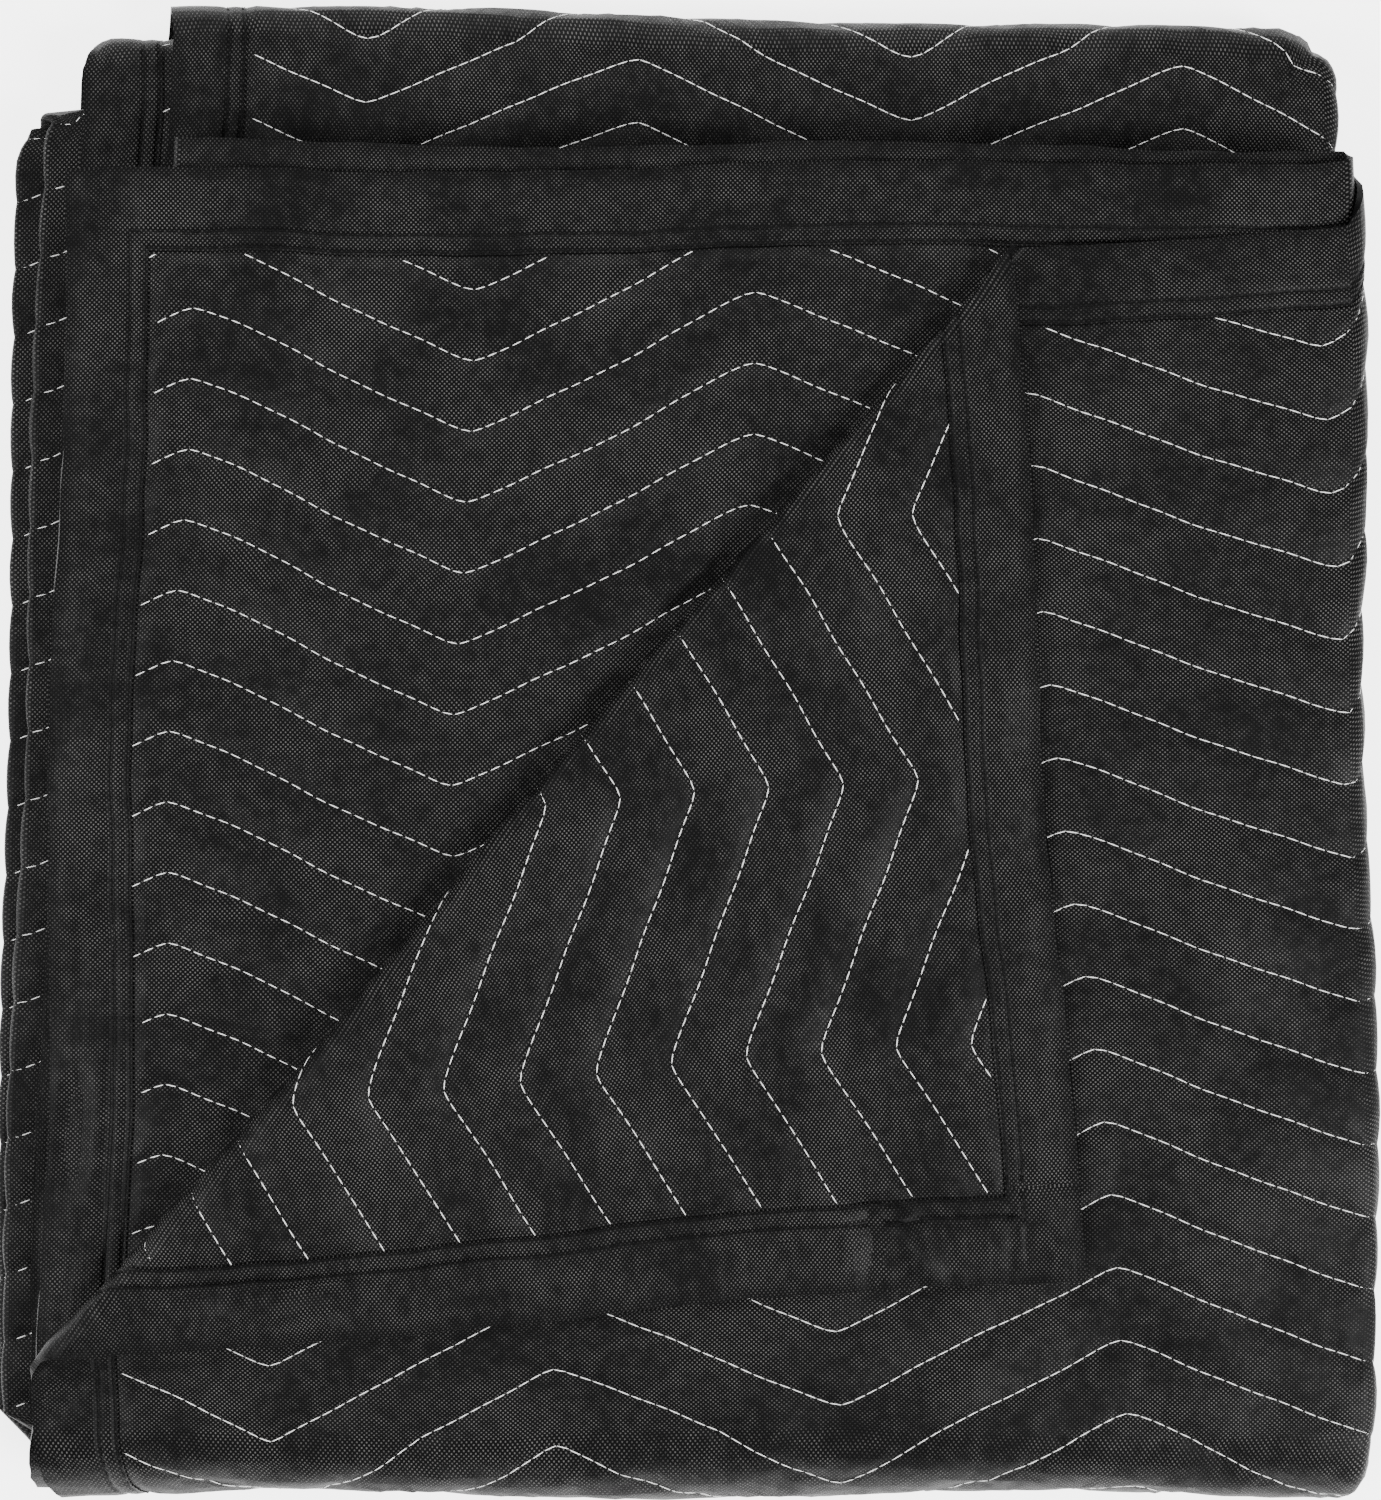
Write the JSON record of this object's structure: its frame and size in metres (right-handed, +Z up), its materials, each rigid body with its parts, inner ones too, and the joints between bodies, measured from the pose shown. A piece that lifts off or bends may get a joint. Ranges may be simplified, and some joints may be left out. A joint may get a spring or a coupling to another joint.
{
  "type": "folded moving pad",
  "caption": "Zigzag-quilted non-woven pad with a bound edge, folded into a thick square stack, one corner of the top layer turned back.",
  "frame": {"origin": "centre of the folded pad's outline, on the surface that it lies on", "axes": "+Z up, +Y towards the open edges of the top layers, +X towards the folded side"},
  "size_m": [0.4877, 0.5285, 0.0625],
  "materials": {
    "quilted_cloth": "black embossed non-woven cloth, quilted in zigzag rows with white thread",
    "binding_cloth": "black embossed non-woven strip, sewn with two rows of black thread"
  },
  "bodies": {
    "root": {"quilted_panel": "quilted_cloth", "edge_binding": "binding_cloth"}
  },
  "joints": []
}
